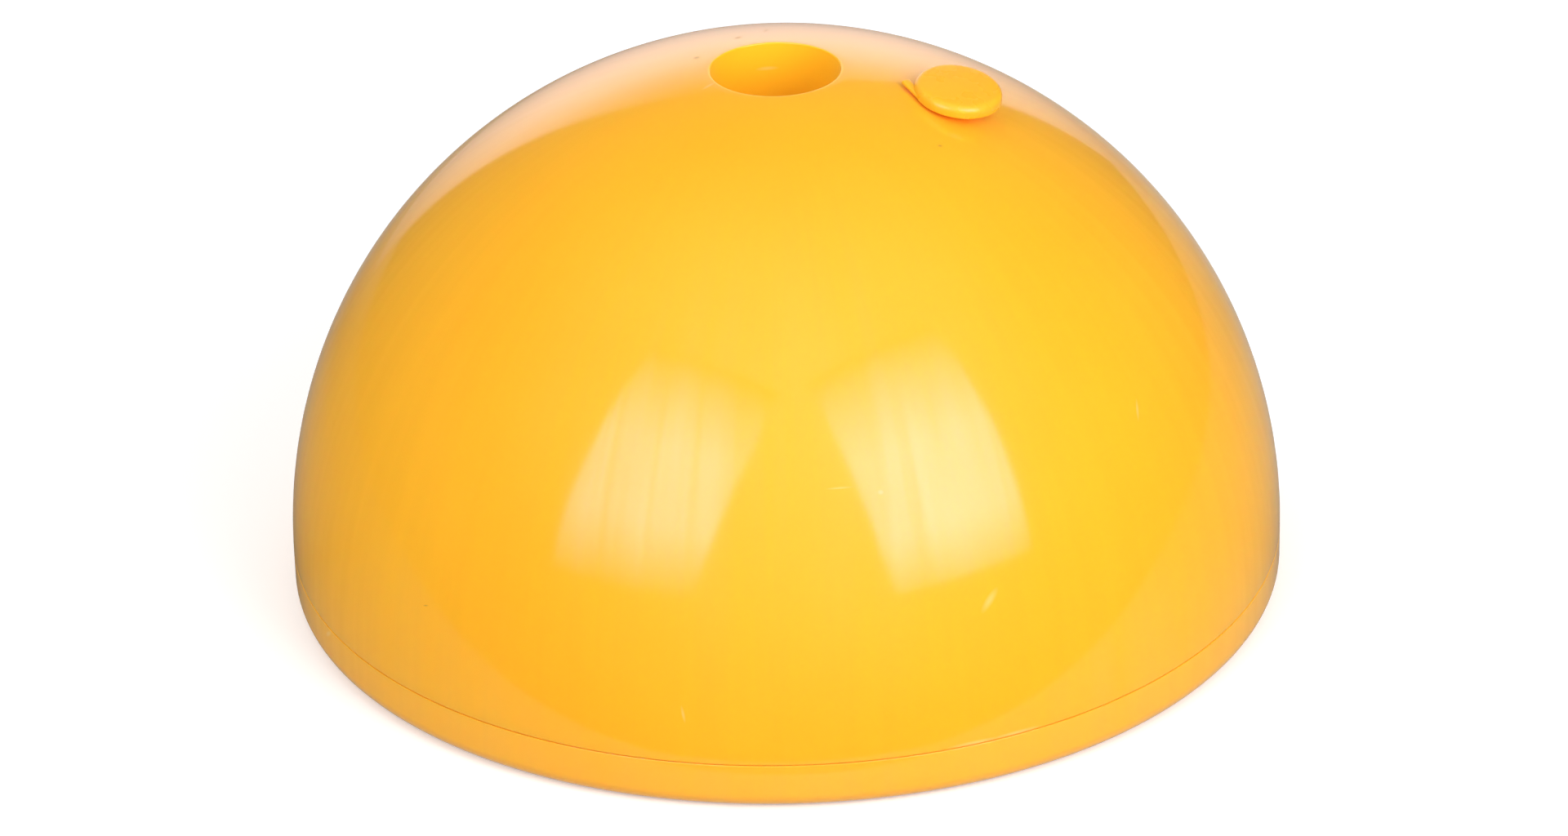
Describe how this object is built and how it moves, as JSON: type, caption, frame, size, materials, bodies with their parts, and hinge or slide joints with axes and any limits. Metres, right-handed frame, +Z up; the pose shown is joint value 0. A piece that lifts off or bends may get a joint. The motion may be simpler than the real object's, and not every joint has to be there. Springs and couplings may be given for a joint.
{
  "type": "pole base",
  "caption": "Hemispherical moulded base for a slalom or training pole, with a blind pole socket in the crown, a push-in filler plug beside it and a flat base pan.",
  "frame": {"origin": "middle of the underside, on the dome's axis, at the level of the surface that the base stands on", "axes": "+Z up along the dome's axis, +X towards the filler plug"},
  "size_m": [0.21, 0.21, 0.1145],
  "materials": {
    "dome_plastic": "glossy moulded yellow",
    "socket_plastic": "glossy moulded yellow",
    "pan_plastic": "glossy moulded yellow",
    "plug_plastic": "semi-gloss soft moulded yellow"
  },
  "bodies": {
    "base": {"dome_shell": "dome_plastic", "pole_socket": "socket_plastic", "base_pan": "pan_plastic"},
    "plug": {"filler_plug": "plug_plastic"}
  },
  "joints": [
    {"name": "plug_pull", "type": "slide", "parent": "base", "child": "plug", "axis": [0.173, -0.092, 0.9806], "range_m": [0, 0.03]}
  ]
}
